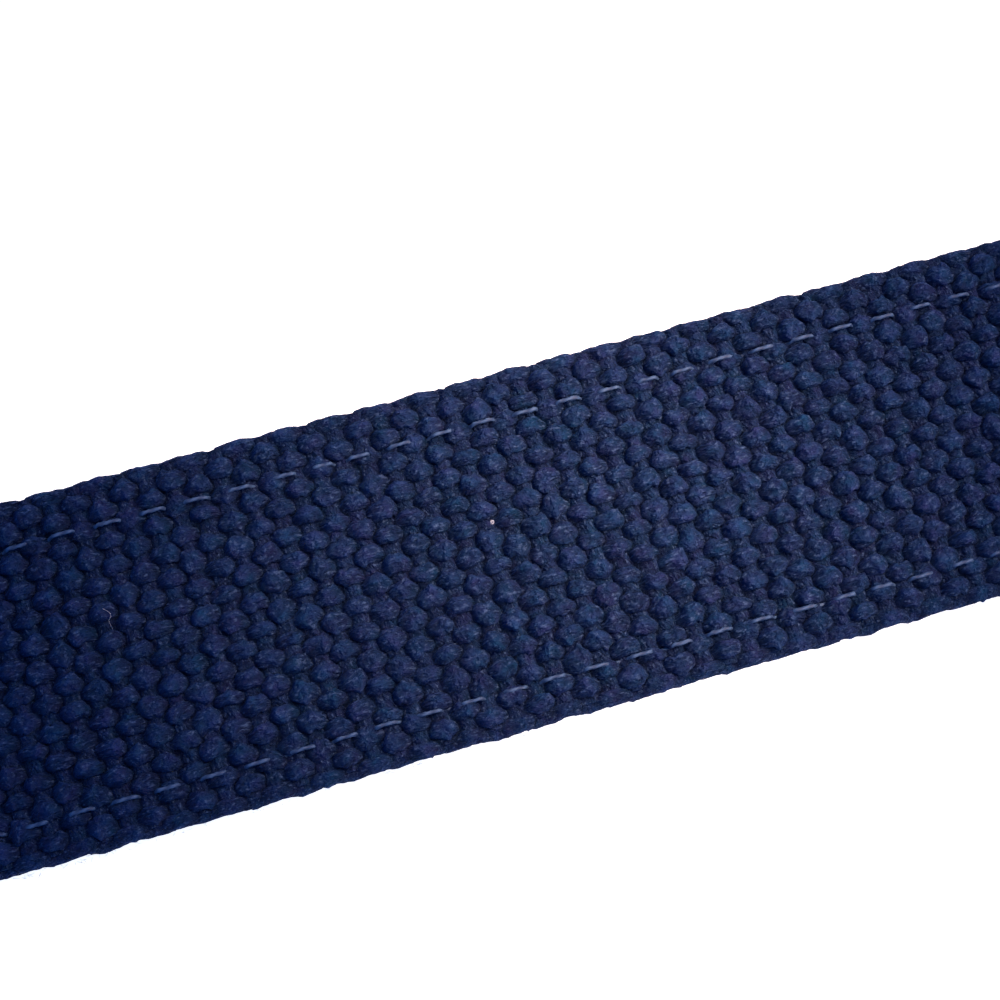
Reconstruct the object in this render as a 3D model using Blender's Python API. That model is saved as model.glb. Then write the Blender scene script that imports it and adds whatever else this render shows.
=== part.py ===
"""Stitched webbing belt, laid out straight on a flat surface with its stitched back face up.

The strap is one band of heavy woven cotton. At +X it is folded back round the end bar of a plain
three-bar slide buckle, and at -X its end is turned back once as a hem. Two furrows on each face
mark the rows of stitching that run the whole length, one near each selvedge, and a little nearer
to the one at -Y.

Lengths are in metres. +X runs along the belt towards the buckle and +Z is up. The origin is on the
surface, under the middle of the belt's whole outline.
"""

import math
from typing import NamedTuple

import bpy

# The whole belt
BELT_LENGTH = 1.10

# The woven strap
STRAP_WIDTH = 0.03175
STRAP_THICKNESS = 0.0026
SELVEDGE_ROUND = 0.0011
FAR_ROW_INSET = 0.0047
NEAR_ROW_INSET = 0.0036
FURROW_WIDTH = 0.0016
FURROW_DEPTH = 0.00022

# How its two ends are turned back
LAYER_GAP = 0.0003
TAIL_LENGTH = 0.046
TAIL_SLOPE = math.radians(24)
TAIL_EASE_RADIUS = 0.0045
HEM_LENGTH = 0.017

# The slide buckle, bent and soldered from round wire
WIRE_DIAMETER = 0.0032
MIDDLE_BAR_DIAMETER = 0.0028
BAR_SPACING = 0.0125
FRAME_CORNER_RADIUS = 0.0024
STRAP_SIDE_CLEARANCE = 0.0011
STRAP_BAR_CLEARANCE = 0.0003

# Smoothness of the faceted solids
BEND_STEP = math.radians(15)
SELVEDGE_STEPS = 4
WIRE_SIDES_LEVEL = 6
MIDDLE_BAR_SIDES = 16

# Places worked out from those sizes
WIRE_RADIUS = WIRE_DIAMETER / 2
STRAP_MIDDLE_Z = STRAP_THICKNESS / 2
SECOND_LAYER_Z = STRAP_MIDDLE_Z + STRAP_THICKNESS + LAYER_GAP
HEM_RADIUS = (SECOND_LAYER_Z - STRAP_MIDDLE_Z) / 2
LOOP_RADIUS = WIRE_RADIUS + STRAP_BAR_CLEARANCE + STRAP_THICKNESS / 2
END_BAR_Z = STRAP_MIDDLE_Z + LOOP_RADIUS
BUCKLE_REACH = 2 * BAR_SPACING
BUCKLE_TILT = math.asin((END_BAR_Z - WIRE_RADIUS) / BUCKLE_REACH)
END_BAR_X = BELT_LENGTH / 2 - WIRE_RADIUS - BUCKLE_REACH * math.cos(BUCKLE_TILT)
HEM_BEND_X = -BELT_LENGTH / 2 + HEM_RADIUS + STRAP_THICKNESS / 2

# Linear colours, roughness and metallic value of the two materials
NAVY_COTTON = ((0.010, 0.018, 0.060, 1.0), 0.9, 0.0)
SATIN_NICKEL = ((0.62, 0.60, 0.56, 1.0), 0.32, 1.0)


class Move(NamedTuple):
    """One stretch of the strap's middle line: its length and how far it turns to the left."""

    length: float
    turn: float


def clear_scene():
    """Remove every object that the startup scene holds."""
    for obj in list(bpy.data.objects):
        bpy.data.objects.remove(obj, do_unlink=True)


def new_collection(name, hidden=False):
    """Add a collection to the scene, left out of renders if it only holds helpers."""
    collection = bpy.data.collections.new(name)
    collection.hide_render = hidden
    bpy.context.scene.collection.children.link(collection)
    return collection


def new_material(name, look):
    """A Principled material with the given colour, roughness and metallic value."""
    colour, roughness, metallic = look
    material = bpy.data.materials.new(name)
    material.use_nodes = True
    shader = material.node_tree.nodes["Principled BSDF"]
    shader.inputs["Base Color"].default_value = colour
    shader.inputs["Roughness"].default_value = roughness
    shader.inputs["Metallic"].default_value = metallic
    material.diffuse_color = colour
    return material


def as_helper(obj):
    """Mark an object as a guide or cutter, which is no piece of the belt."""
    obj.hide_render = True
    obj.display_type = "WIRE"
    return obj


def poly_curve(name, points, collection, closed=False):
    """A planar curve object with one straight-sided spline through (x, y) points."""
    data = bpy.data.curves.new(name, "CURVE")
    data.dimensions = "2D"
    data.fill_mode = "NONE"
    spline = data.splines.new("POLY")
    spline.points.add(len(points) - 1)
    for target, (x, y) in zip(spline.points, points):
        target.co = (x, y, 0.0, 1.0)
    spline.use_cyclic_u = closed
    obj = bpy.data.objects.new(name, data)
    collection.objects.link(obj)
    return obj


def walk(start, heading, moves):
    """Points along a planar line that starts at a point and follows the moves one by one."""
    x, y = start
    points = [(x, y)]
    for move in moves:
        steps = max(1, math.ceil(abs(move.turn) / BEND_STEP - 1e-6))
        turn = move.turn / steps
        chord = move.length / steps
        if turn:
            chord *= math.sin(turn / 2) / (turn / 2)
        for _ in range(steps):
            heading += turn / 2
            x += chord * math.cos(heading)
            y += chord * math.sin(heading)
            heading += turn / 2
            points.append((x, y))
    return points


def bend(radius, turn):
    """The move that turns by an angle on an arc of this radius."""
    return Move(radius * abs(turn), turn)


def strap_line():
    """The strap's middle line seen from the side, from the hem's cut end to the tail's."""
    slope_top = END_BAR_Z + LOOP_RADIUS * math.cos(TAIL_SLOPE)
    ease_drop = TAIL_EASE_RADIUS * (1 - math.cos(TAIL_SLOPE))
    slope_run = (slope_top - SECOND_LAYER_Z - ease_drop) / math.sin(TAIL_SLOPE)
    slope_reach = (
        LOOP_RADIUS * math.sin(TAIL_SLOPE)
        + slope_run * math.cos(TAIL_SLOPE)
        + TAIL_EASE_RADIUS * math.sin(TAIL_SLOPE)
    )
    hem_end_x = HEM_BEND_X + HEM_LENGTH
    tail_end_x = END_BAR_X - TAIL_LENGTH
    moves = [
        Move(HEM_LENGTH, 0.0),
        bend(HEM_RADIUS, math.pi),
        Move(HEM_LENGTH, 0.0),
        Move(tail_end_x - hem_end_x, 0.0),
        Move(TAIL_LENGTH, 0.0),
        bend(LOOP_RADIUS, math.pi + TAIL_SLOPE),
        Move(slope_run, 0.0),
        bend(TAIL_EASE_RADIUS, -TAIL_SLOPE),
        Move(TAIL_LENGTH - slope_reach, 0.0),
    ]
    return walk((hem_end_x, SECOND_LAYER_Z), math.pi, moves)


def selvedge(side):
    """One round edge of the strap's cross-section, at -Y if side is 1, from below to above."""
    points = []
    for step in range(2 * SELVEDGE_STEPS + 1):
        angle = math.pi / 2 * (step / SELVEDGE_STEPS - 1)
        across = STRAP_WIDTH / 2 - SELVEDGE_ROUND * (1 - math.cos(angle))
        points.append((STRAP_THICKNESS / 2 * math.sin(angle), side * across))
    return points


def furrows(face):
    """The two sewn furrows of one face, from the row near -Y to the row near +Y."""
    height = face * STRAP_THICKNESS / 2
    floor = face * (STRAP_THICKNESS / 2 - FURROW_DEPTH)
    points = []
    for row in (STRAP_WIDTH / 2 - NEAR_ROW_INSET, FAR_ROW_INSET - STRAP_WIDTH / 2):
        points.append((height, row + FURROW_WIDTH / 2))
        points.append((floor, row))
        points.append((height, row - FURROW_WIDTH / 2))
    return points


def strap_section():
    """The strap's cross-section as (thickness, width) points, with the width counted towards -Y."""
    return selvedge(1) + furrows(1) + selvedge(-1)[::-1] + furrows(-1)[::-1]


def make_strap(belt, helpers):
    """The woven strap: its cross-section carried along its middle line, with both ends cut square."""
    section = as_helper(poly_curve("strap_section", strap_section(), helpers, closed=True))
    strap = poly_curve("strap", strap_line(), belt)
    strap.data.bevel_mode = "OBJECT"
    strap.data.bevel_object = section
    strap.data.use_fill_caps = True
    strap.rotation_euler = (math.pi / 2, 0.0, 0.0)
    strap.data.materials.append(new_material("navy_cotton_webbing", NAVY_COTTON))
    return strap


def buckle_outline():
    """The wire frame's middle line, a rectangle with round corners, as a closed ring of points."""
    half_width = STRAP_WIDTH / 2 + STRAP_SIDE_CLEARANCE + WIRE_RADIUS
    corner = FRAME_CORNER_RADIUS
    side = Move(BUCKLE_REACH - 2 * corner, 0.0)
    bar = Move(2 * (half_width - corner), 0.0)
    quarter = bend(corner, math.pi / 2)
    moves = [side, quarter, bar, quarter, side, quarter, bar, quarter]
    return walk((corner, -half_width), 0.0, moves)[:-1]


def as_mesh(curve):
    """Turn a curve object into the mesh that it draws, under the same name."""
    bpy.context.view_layer.objects.active = curve
    curve.select_set(True)
    bpy.ops.object.convert(target="MESH")
    curve.select_set(False)
    return curve


def make_middle_bar(helpers):
    """The rod across the buckle's middle, whose ends run into the two side wires."""
    across = STRAP_WIDTH + 2 * (STRAP_SIDE_CLEARANCE + WIRE_RADIUS)
    bpy.ops.mesh.primitive_cylinder_add(
        vertices=MIDDLE_BAR_SIDES,
        radius=MIDDLE_BAR_DIAMETER / 2,
        depth=across,
        location=(BAR_SPACING, 0.0, 0.0),
        rotation=(math.pi / 2, 0.0, 0.0),
    )
    bar = as_helper(bpy.context.active_object)
    bar.name = "middle_bar"
    for owner in list(bar.users_collection):
        owner.objects.unlink(bar)
    helpers.objects.link(bar)
    return bar


def make_buckle(belt, helpers):
    """The slide buckle: a ring of wire with one bar soldered across, turned about its end bar."""
    ring = poly_curve("buckle", buckle_outline(), belt, closed=True)
    ring.data.bevel_depth = WIRE_RADIUS
    ring.data.bevel_resolution = WIRE_SIDES_LEVEL
    buckle = as_mesh(ring)
    bar = make_middle_bar(helpers)
    bar.parent = buckle
    joint = buckle.modifiers.new("solder middle bar", "BOOLEAN")
    joint.operation = "UNION"
    joint.solver = "EXACT"
    joint.object = bar
    buckle.location = (END_BAR_X, 0.0, END_BAR_Z)
    buckle.rotation_euler = (0.0, BUCKLE_TILT, 0.0)
    buckle.data.materials.append(new_material("satin_nickel_wire", SATIN_NICKEL))
    buckle.data.shade_smooth()
    return buckle


def main():
    """Build the belt's two pieces in their own collection."""
    clear_scene()
    belt = new_collection("stitched_webbing_belt")
    helpers = new_collection("helpers", hidden=True)
    make_strap(belt, helpers)
    make_buckle(belt, helpers)


main()
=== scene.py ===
"""Looks of a stitched webbing belt, laid out straight and photographed close, with its back up.

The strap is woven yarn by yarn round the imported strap, and a soldered wire buckle stands for the
packed one. The stage is white paper under soft light. Lengths are in metres, with +X along the
belt towards the buckle and +Z up. A place on the strap is given as (along, across, up): the way
along its middle line from the hem's cut end, the way across towards +Y, and the height above the
middle line.
"""

import logging
import math
from dataclasses import dataclass, field
from enum import Enum
from typing import Any, NamedTuple

import bpy
import numpy as np
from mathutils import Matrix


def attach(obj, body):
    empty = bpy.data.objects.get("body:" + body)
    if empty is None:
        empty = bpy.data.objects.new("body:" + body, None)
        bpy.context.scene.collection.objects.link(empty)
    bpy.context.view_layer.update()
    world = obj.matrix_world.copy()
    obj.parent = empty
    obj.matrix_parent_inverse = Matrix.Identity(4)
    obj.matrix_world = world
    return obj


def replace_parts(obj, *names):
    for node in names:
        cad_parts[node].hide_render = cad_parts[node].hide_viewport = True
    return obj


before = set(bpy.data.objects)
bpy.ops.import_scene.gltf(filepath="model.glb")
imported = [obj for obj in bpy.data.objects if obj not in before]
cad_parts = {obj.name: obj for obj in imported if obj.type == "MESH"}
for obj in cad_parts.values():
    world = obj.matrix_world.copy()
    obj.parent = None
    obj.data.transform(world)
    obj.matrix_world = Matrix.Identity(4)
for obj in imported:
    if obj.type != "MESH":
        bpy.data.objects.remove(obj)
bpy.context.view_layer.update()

BODY = "root"
MM = 0.001

Array = np.ndarray
log = logging.getLogger("webbing_belt")


class Slot(Enum):
    """The record's material slots."""

    WEBBING = "webbing"
    BUCKLE = "buckle_wire"


class Drawing(Enum):
    """How finely yarn is drawn: rings on a crown of the back, on one of the front, and sides."""

    CLOSE = (13, 5, 12)
    PLAIN = (3, 3, 6)

    @property
    def sides(self) -> int:
        """How many sides the yarn has."""
        return self.value[2]

    def rings(self, crown: int) -> int:
        """How many rings a crown has, numbered so that those of the back are even."""
        return self.value[crown % 2]


class Face(Enum):
    """The two faces of the strap, as the side of its middle line that they are on."""

    BACK = 1.0
    FRONT = -1.0


class Stretch(NamedTuple):
    """How a node's number is stretched: the range that is read, and the range that it becomes."""

    reads_low: float
    reads_high: float
    gives_low: float
    gives_high: float

    def sockets(self) -> dict[str, float]:
        """The four numbers under the names that the stretching node has for them."""
        return dict(zip(("From Min", "From Max", "To Min", "To Max"), self))


def linear(colour: str) -> tuple[float, float, float, float]:
    """Turn an sRGB hex colour into the linear RGBA that Blender's sockets take.

    Args:
        colour: six hex digits after a hash sign.

    Returns:
        The linear red, green and blue, and an alpha of 1.
    """
    parts = [int(colour[i : i + 2], 16) / 255 for i in (1, 3, 5)]
    red, green, blue = (p / 12.92 if p <= 0.04045 else ((p + 0.055) / 1.055) ** 2.4 for p in parts)
    return red, green, blue, 1.0


def feed(
    node: bpy.types.Node,
    values: dict[int | str, Any] | None = None,
    links: dict[int | str, bpy.types.NodeSocket] | None = None,
) -> None:
    """Feed a node's inputs.

    Args:
        node: the node.
        values: constants for its inputs, by name or number.
        links: outputs of other nodes that feed its inputs, by name or number.
    """
    for socket, value in (values or {}).items():
        node.inputs[socket].default_value = value
    for socket, source in (links or {}).items():
        node.id_data.links.new(source, node.inputs[socket])


def add_node(
    tree: bpy.types.NodeTree,
    kind: str,
    values: dict[int | str, Any] | None = None,
    links: dict[int | str, bpy.types.NodeSocket] | None = None,
    **settings: Any,
) -> bpy.types.Node:
    """Add one node to a material, set it up and feed its inputs.

    Args:
        tree: the node tree that gets the node.
        kind: Blender's name for the kind of node.
        values: constants for its inputs, by name or number.
        links: outputs of other nodes that feed its inputs, by name or number.
        **settings: the node's own properties.

    Returns:
        The new node.
    """
    node = tree.nodes.new(kind)
    for name, value in settings.items():
        setattr(node, name, value)
    feed(node, values, links)
    return node


def new_material(
    name: str, constants: dict[str, Any]
) -> tuple[bpy.types.Material, bpy.types.Node]:
    """Start a material that has one Principled shader.

    Args:
        name: the material's name.
        constants: values for the shader's own sockets.

    Returns:
        The material and its shader node.
    """
    material = bpy.data.materials.new(name)
    material.use_nodes = True
    shader = material.node_tree.nodes["Principled BSDF"]
    feed(shader, constants)
    return material, shader


def unit(vectors: Array) -> Array:
    """Scale each row of an array of vectors to length 1."""
    return vectors / np.linalg.norm(vectors, axis=-1, keepdims=True)


def way_along(points: Array) -> Array:
    """Distance along a line from its first point to each of its points."""
    steps = np.linalg.norm(np.diff(points, axis=0), axis=1)
    return np.concatenate([[0.0], np.cumsum(steps)])


def frames_along(points: Array, up: tuple[float, float, float]) -> tuple[Array, Array]:
    """Find the two directions square to a line at each of its points.

    Args:
        points: the line's points, one a row.
        up: a direction that the line never runs along.

    Returns:
        The sideways and the upward unit vectors, one a row.
    """
    ahead = unit(np.gradient(points, axis=0))
    sideways = unit(np.cross(np.array(up), ahead))
    return sideways, np.cross(ahead, sideways)


def around(rings: int, sides: int, lean: Array | float = 0.0) -> Array:
    """Spread points round an oval.

    Args:
        rings: how many ovals there are.
        sides: how many points each has.
        lean: how much closer the points lie at the top than below, from -1 to 1.

    Returns:
        The angle of each point, one row for each oval.
    """
    angle = np.tile(np.arange(sides) * math.tau / sides, (rings, 1))
    return angle + np.broadcast_to(lean, (rings,))[:, None] * np.cos(angle)


def tube(
    points: Array,
    wide: Array,
    tall: Array,
    half_wide: Array,
    half_tall: Array,
    angle: Array,
    ring: bool = False,
    lumps: Array | float = 1.0,
) -> tuple[Array, list[Array]]:
    """Sweep an oval along a line as a closed skin.

    Args:
        points: the line's points, one a row.
        wide: the unit vectors of the oval's width.
        tall: the unit vectors of its height.
        half_wide: half its width at each point.
        half_tall: half its height at each point.
        angle: where round the oval its points lie, one row for each point of the line.
        ring: whether the line closes on itself, so that the skin needs no end caps.
        lumps: how many times the usual size each point's distance from the line is.

    Returns:
        The skin's points, and its faces as arrays of point numbers.
    """
    skin = (
        points[:, None]
        + (lumps * half_wide[:, None] * np.cos(angle))[..., None] * wide[:, None]
        + (lumps * half_tall[:, None] * np.sin(angle))[..., None] * tall[:, None]
    )
    count, sides = angle.shape
    first = np.arange(count if ring else count - 1)[:, None] * sides
    after = (first + sides) % (count * sides)
    here, beside = np.arange(sides), (np.arange(sides) + 1) % sides
    quads = np.stack([first + here, first + beside, after + beside, after + here], -1)
    faces = [quads.reshape(-1, 4)]
    if not ring:
        faces += [here[None, ::-1], here[None] + (count - 1) * sides]
    return skin.reshape(-1, 3), faces


@dataclass
class Piecework:
    """Skins gathered for one piece, with what its material reads at each point.

    The yarn numbers are the way along and round the yarn in millimetres and which yarn it is. The
    dye numbers are how far its hue and its depth of colour are from the usual, and how near the
    top of a crown it is, which sets its painted shade: paler on top, darker lower down.
    """

    name: str
    points: list[Array] = field(default_factory=list)
    faces: list[Array] = field(default_factory=list)
    yarns: list[Array] = field(default_factory=list)
    dyes: list[Array] = field(default_factory=list)
    count: int = 0

    def add(self, points: Array, faces: list[Array], yarn: Array, dye: Array) -> None:
        """Take in one skin.

        Args:
            points: its points, one a row.
            faces: its faces as arrays of point numbers.
            yarn: the yarn numbers of each point.
            dye: the dye numbers of each point.
        """
        self.points.append(points)
        self.faces += [part + self.count for part in faces]
        self.yarns.append(yarn)
        self.dyes.append(dye)
        self.count += len(points)

    def add_tube(
        self,
        points: Array,
        faces: list[Array],
        angle: Array,
        gone_mm: Array,
        girth_mm: float,
        which: float,
        dye: Array | tuple[float, float, float] = (0.0, 0.0, 0.0),
    ) -> None:
        """Take in a tube.

        Args:
            points: the points of its skin, one a row.
            faces: its faces as arrays of point numbers.
            angle: where round it its points lie, one row for each ring.
            gone_mm: the way along it to each ring.
            girth_mm: the radius that its way round is measured with.
            which: which yarn it is.
            dye: its dye numbers, the same all over or one row for each ring.
        """
        rings, sides = angle.shape
        gone = np.repeat(gone_mm, sides)
        yarn = np.stack([gone, angle.ravel() * girth_mm, np.full(angle.size, which)], -1)
        self.add(points, faces, yarn, np.repeat(np.broadcast_to(dye, (rings, 3)), sides, axis=0))

    def make(self, material: bpy.types.Material, slot: Slot) -> bpy.types.Object:
        """Turn the skins into one piece of the object.

        Args:
            material: what it is made of.
            slot: not used.

        Returns:
            The piece, riding on the belt's body.
        """
        mesh = bpy.data.meshes.new(self.name)
        points = np.concatenate(self.points).astype(np.float32)
        mesh.vertices.add(len(points))
        mesh.vertices.foreach_set("co", points.ravel())
        corners = np.concatenate([part.ravel() for part in self.faces]).astype(np.int32)
        sizes = np.concatenate([np.full(len(part), part.shape[1]) for part in self.faces])
        mesh.loops.add(len(corners))
        mesh.loops.foreach_set("vertex_index", corners)
        mesh.polygons.add(len(sizes))
        mesh.polygons.foreach_set("loop_start", (np.cumsum(sizes) - sizes).astype(np.int32))
        mesh.polygons.foreach_set("use_smooth", np.ones(len(sizes), bool))
        mesh.update(calc_edges=True)
        for name, values in (("yarn", self.yarns), ("dye", self.dyes)):
            numbers = np.concatenate(values).astype(np.float32)
            attribute = mesh.attributes.new(name, "FLOAT_VECTOR", "POINT")
            attribute.data.foreach_set("vector", numbers.ravel())
        mesh.materials.append(material)
        piece = bpy.data.objects.new(self.name, mesh)
        bpy.context.scene.collection.objects.link(piece)
        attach(piece, BODY)
        log.info("%s: %d triangles", self.name, int((sizes - 2).sum()))
        return piece


@dataclass(frozen=True)
class BeltSizes:
    """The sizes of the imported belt, and the places that follow from them."""

    belt_length: float = 1.10
    strap_width: float = 0.03175
    strap_thickness: float = 0.0026
    layer_gap: float = 0.0003
    tail_length: float = 0.046
    tail_slope: float = math.radians(24)
    tail_ease_radius: float = 0.0045
    hem_length: float = 0.017
    wire_radius: float = 0.0016
    middle_bar_radius: float = 0.0014
    bar_spacing: float = 0.0125
    corner_radius: float = 0.0024
    side_clearance: float = 0.0011
    bar_clearance: float = 0.0003

    @property
    def middle_z(self) -> float:
        """Height of the flat strap's middle line."""
        return self.strap_thickness / 2

    @property
    def second_layer_z(self) -> float:
        """Height of the middle line where the strap lies on itself."""
        return self.middle_z + self.strap_thickness + self.layer_gap

    @property
    def hem_radius(self) -> float:
        """Radius of the middle line where the hem turns back."""
        return (self.second_layer_z - self.middle_z) / 2

    @property
    def loop_radius(self) -> float:
        """Radius of the middle line round the buckle's end bar."""
        return self.wire_radius + self.bar_clearance + self.strap_thickness / 2

    @property
    def end_bar_z(self) -> float:
        """Height of the buckle's end bar."""
        return self.middle_z + self.loop_radius

    @property
    def buckle_reach(self) -> float:
        """Distance from the buckle's end bar to its far bar."""
        return 2 * self.bar_spacing

    @property
    def buckle_tilt(self) -> float:
        """How far the buckle leans down towards its far bar."""
        return math.asin((self.end_bar_z - self.wire_radius) / self.buckle_reach)

    @property
    def end_bar_x(self) -> float:
        """Place of the end bar along the belt."""
        reach = self.buckle_reach * math.cos(self.buckle_tilt)
        return self.belt_length / 2 - self.wire_radius - reach

    @property
    def hem_bend_x(self) -> float:
        """Place along the belt where the hem's bend begins."""
        return -self.belt_length / 2 + self.hem_radius + self.strap_thickness / 2


@dataclass
class StrapLine:
    """The strap's middle line seen from the side, from the hem's cut end to the tail's.

    The part of it that the photograph shows, and a little more, is drawn closely.
    """

    sizes: BeltSizes
    flat_move: int = 2
    close_x: tuple[float, float] = (-50 * MM, 55 * MM)
    starts: Array = field(init=False)
    curves: Array = field(init=False)
    headings: Array = field(init=False)
    corners: Array = field(init=False)
    length: float = field(init=False)

    def __post_init__(self) -> None:
        """Lay the straight stretches and bends end to end."""
        z = self.sizes
        slope_top = z.end_bar_z + z.loop_radius * math.cos(z.tail_slope)
        ease_drop = z.tail_ease_radius * (1 - math.cos(z.tail_slope))
        slope_run = (slope_top - z.second_layer_z - ease_drop) / math.sin(z.tail_slope)
        slope_reach = (z.loop_radius + z.tail_ease_radius) * math.sin(z.tail_slope)
        slope_reach += slope_run * math.cos(z.tail_slope)
        moves = (
            (z.hem_length, 0.0),
            (z.hem_radius * math.pi, math.pi),
            (z.end_bar_x - z.hem_bend_x, 0.0),
            (z.loop_radius * (math.pi + z.tail_slope), math.pi + z.tail_slope),
            (slope_run, 0.0),
            (z.tail_ease_radius * z.tail_slope, -z.tail_slope),
            (z.tail_length - slope_reach, 0.0),
        )
        runs, turns = (np.array(part) for part in zip(*moves))
        self.length = float(runs.sum())
        self.starts = np.cumsum(runs) - runs
        self.curves = turns / runs
        self.headings = math.pi + np.cumsum(turns) - turns
        here = (z.hem_bend_x + z.hem_length, z.second_layer_z)
        corners = []
        for run, curve, heading in zip(runs, self.curves, self.headings):
            corners.append(here)
            here = self.step(here, run, curve, heading)
        self.corners = np.array(corners)

    @staticmethod
    def step(start: Array, run: Array, curve: Array, heading: Array) -> Array:
        """Go along a straight line or an arc.

        Args:
            start: where it starts, as (x, z).
            run: how far to go.
            curve: turn for each metre.
            heading: the direction at the start.

        Returns:
            Where that leads, as (x, z) on the last axis.
        """
        half = np.asarray(curve) * run / 2
        chord = run * np.sinc(half / math.pi)
        x = np.asarray(start)[..., 0] + chord * np.cos(heading + half)
        z = np.asarray(start)[..., 1] + chord * np.sin(heading + half)
        return np.stack([x, z], -1)

    def place(self, strap: Array) -> Array:
        """Turn places on the strap into places in the scene.

        Args:
            strap: rows of (along, across, up).

        Returns:
            Rows of (x, y, z).
        """
        along, across, up = strap.T
        part = np.clip(np.searchsorted(self.starts, along, side="right") - 1, 0, None)
        run = along - self.starts[part]
        curve, heading = self.curves[part], self.headings[part]
        x, z = self.step(self.corners[part], run, curve, heading).T
        turned = heading + curve * run
        return np.stack([x - up * np.sin(turned), across, z + up * np.cos(turned)], -1)

    def flat(self, x: float) -> float:
        """Way along the strap to a place x on its flat bottom layer."""
        return float(self.starts[self.flat_move]) + x - self.sizes.hem_bend_x

    def tail(self, x: float) -> float:
        """Way along the strap to a place x on the tail that lies on top."""
        return self.length - (x - (self.sizes.end_bar_x - self.sizes.tail_length))

    def hem(self, x: float) -> float:
        """Way along the strap to a place x on the hem that lies on top."""
        return self.sizes.hem_bend_x + self.sizes.hem_length - x

    def close(self) -> tuple[float, float]:
        """Ways along the strap to the two ends of the part that is drawn closely."""
        low, high = self.close_x
        return self.flat(low), self.flat(high)


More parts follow.
